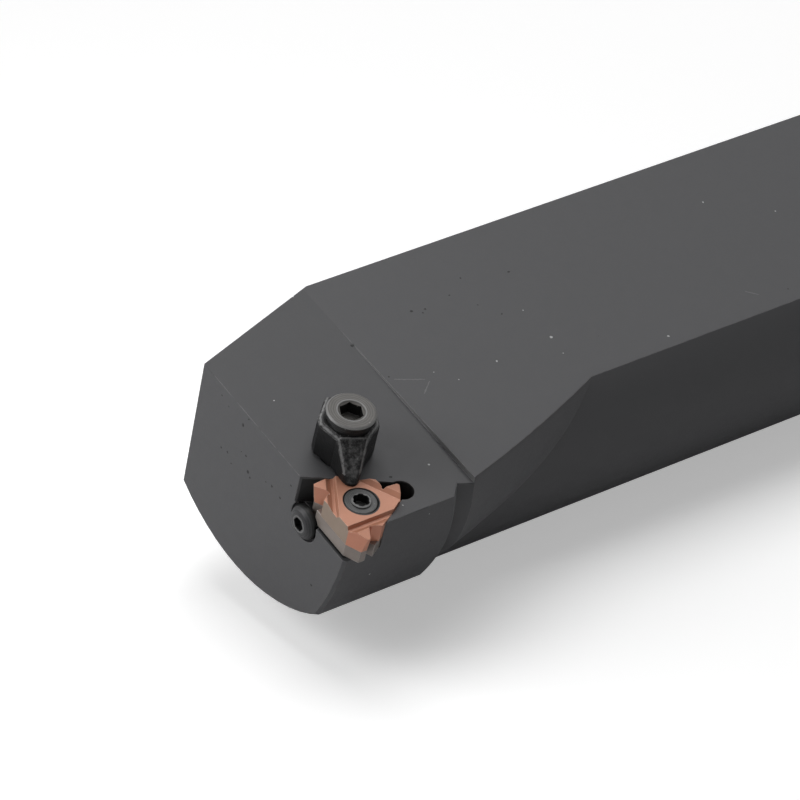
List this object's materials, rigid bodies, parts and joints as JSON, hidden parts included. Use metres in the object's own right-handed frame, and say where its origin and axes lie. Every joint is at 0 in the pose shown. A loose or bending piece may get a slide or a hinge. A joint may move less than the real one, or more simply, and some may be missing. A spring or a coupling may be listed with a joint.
{
  "type": "threading tool holder",
  "caption": "Round boring bar with a clamping flat and an offset head for internal thread turning, with a laydown insert on an anvil, held by a screw and a finger clamp.",
  "frame": {"origin": "on the shank's axis, at the rear end face", "axes": "+Y along the bar from the head to the rear end, +X towards the cutting side, +Z towards the clamping flat"},
  "size_m": [0.0587, 0.351, 0.0495],
  "materials": {
    "body_steel": "blackened tool steel, satin, with bright worn edges",
    "carbide": "ground grey carbide",
    "black_screw": "blackened steel with a slight sheen",
    "coated_carbide": "copper-coloured coating, satin",
    "dark_screw": "dark steel, satin",
    "clamp_steel": "blackened forged steel with worn edges",
    "spring_steel": "spring steel"
  },
  "bodies": {
    "holder": {"holder_body": "body_steel", "anvil": "carbide", "anvil_screw": "black_screw", "threading_insert": "coated_carbide", "insert_screw": "dark_screw"},
    "lifter": {"retaining_ring": "spring_steel"},
    "clamp": {"clamp": "clamp_steel"},
    "screw": {"clamp_screw": "black_screw"}
  },
  "joints": [
    {"name": "clamp_lift", "type": "slide", "parent": "holder", "child": "lifter", "axis": [0.0278, -0.0022, 0.9996], "range_m": [0, 0.003]},
    {"name": "screw_turn", "type": "hinge", "parent": "lifter", "child": "screw", "pos_m": [0.0155, -0.3406, 0.01488], "axis": [0.0278, -0.0022, 0.9996], "range_deg": [0, 1350]},
    {"name": "clamp_swing", "type": "hinge", "parent": "lifter", "child": "clamp", "pos_m": [0.0155, -0.3406, 0.01488], "axis": [0.0278, -0.0022, 0.9996], "range_deg": [0, 110]}
  ],
  "couplings": [
    {"joint": "screw_turn", "follows": "clamp_lift", "rad_per_m": 7853.9}
  ]
}
